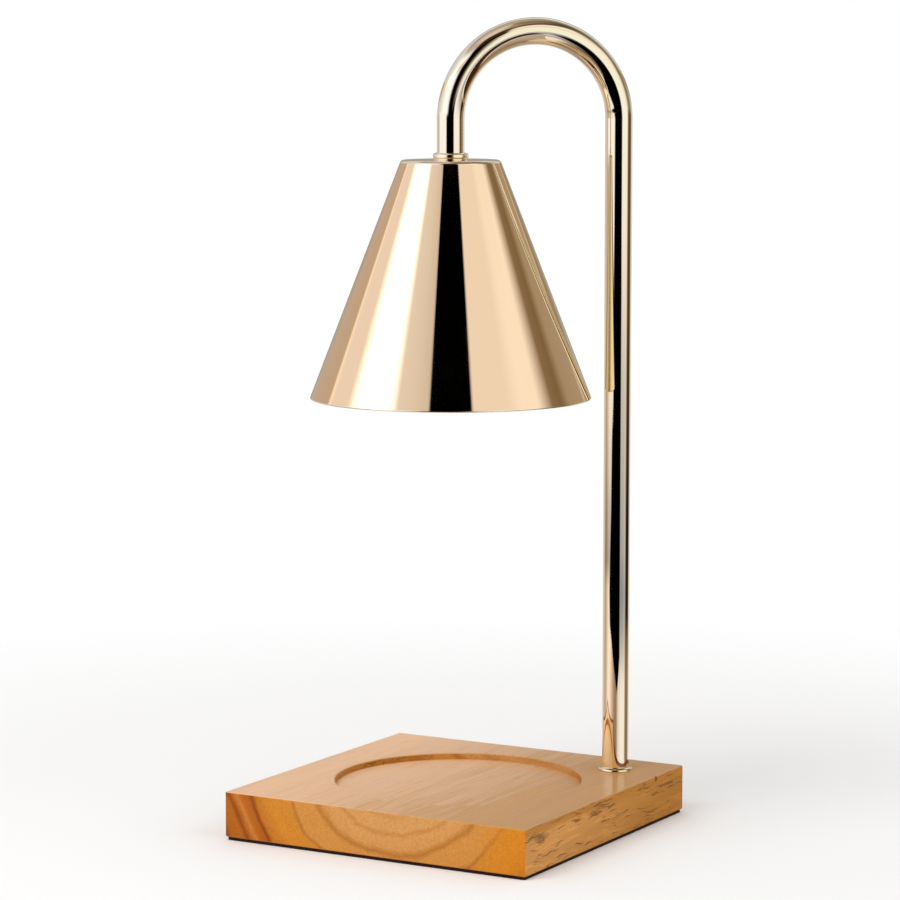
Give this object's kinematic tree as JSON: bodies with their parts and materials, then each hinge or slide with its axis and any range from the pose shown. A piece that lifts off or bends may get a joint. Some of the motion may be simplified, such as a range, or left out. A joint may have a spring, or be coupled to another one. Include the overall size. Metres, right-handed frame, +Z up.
{
  "type": "candle warmer lamp",
  "caption": "Lamp that melts a jar candle from above: square wooden base with a round recess, hooked tube post and a conical metal shade holding a halogen bulb.",
  "frame": {"origin": "bottom centre of the square base, on the underside of its pad", "axes": "+Z up, +X and +Y square to the sides of the base; the post stands in the +X +Y corner and the cord inlet is in the +Y face"},
  "size_m": [0.15, 0.15, 0.3583],
  "materials": {
    "oak": "satin",
    "pad": "matte",
    "black_rubber": "matte",
    "plating": "polished",
    "zinc": "satin",
    "nickel": "satin",
    "brass": "satin",
    "clear_plastic": "satin",
    "steatite": "matte",
    "bulb_ceramic": "satin",
    "reflector": "polished",
    "lens_glass": "gloss",
    "tungsten": "satin",
    "flex_sheath": "matte",
    "lead_silicone": "matte"
  },
  "bodies": {
    "lamp": {"base_block": "oak", "base_pad": "pad", "cord_bushing": "black_rubber", "gooseneck_tube": "plating", "foot_collar": "plating", "shade_collar": "plating", "shade": "plating", "foot_nipple": "zinc", "foot_washer": "zinc", "foot_lock_washer": "zinc", "foot_nut": "zinc", "shade_nipple": "zinc", "shade_lock_washer": "zinc", "shade_nut": "zinc", "holder_bracket": "zinc", "holder_screws": "zinc", "terminal_screws": "zinc", "terminal_fixing_screw": "zinc", "terminal_tubes": "brass", "holder_contacts": "brass", "terminal_block": "clear_plastic", "holder_cover": "steatite", "holder_body": "steatite", "inner_flex": "flex_sheath", "holder_leads": "lead_silicone", "base_leads": "lead_silicone"},
    "bulb": {"bulb_base": "bulb_ceramic", "bulb_reflector": "reflector", "bulb_front_glass": "lens_glass", "bulb_pins": "nickel", "bulb_capsule": "lens_glass", "bulb_filament": "tungsten"}
  },
  "joints": [
    {"name": "bulb_twist", "type": "hinge", "parent": "lamp", "child": "bulb", "pos_m": [-0.00245, -0.00245, 0.2622], "axis": [0, 0, -1], "range_deg": [0, 45]}
  ]
}
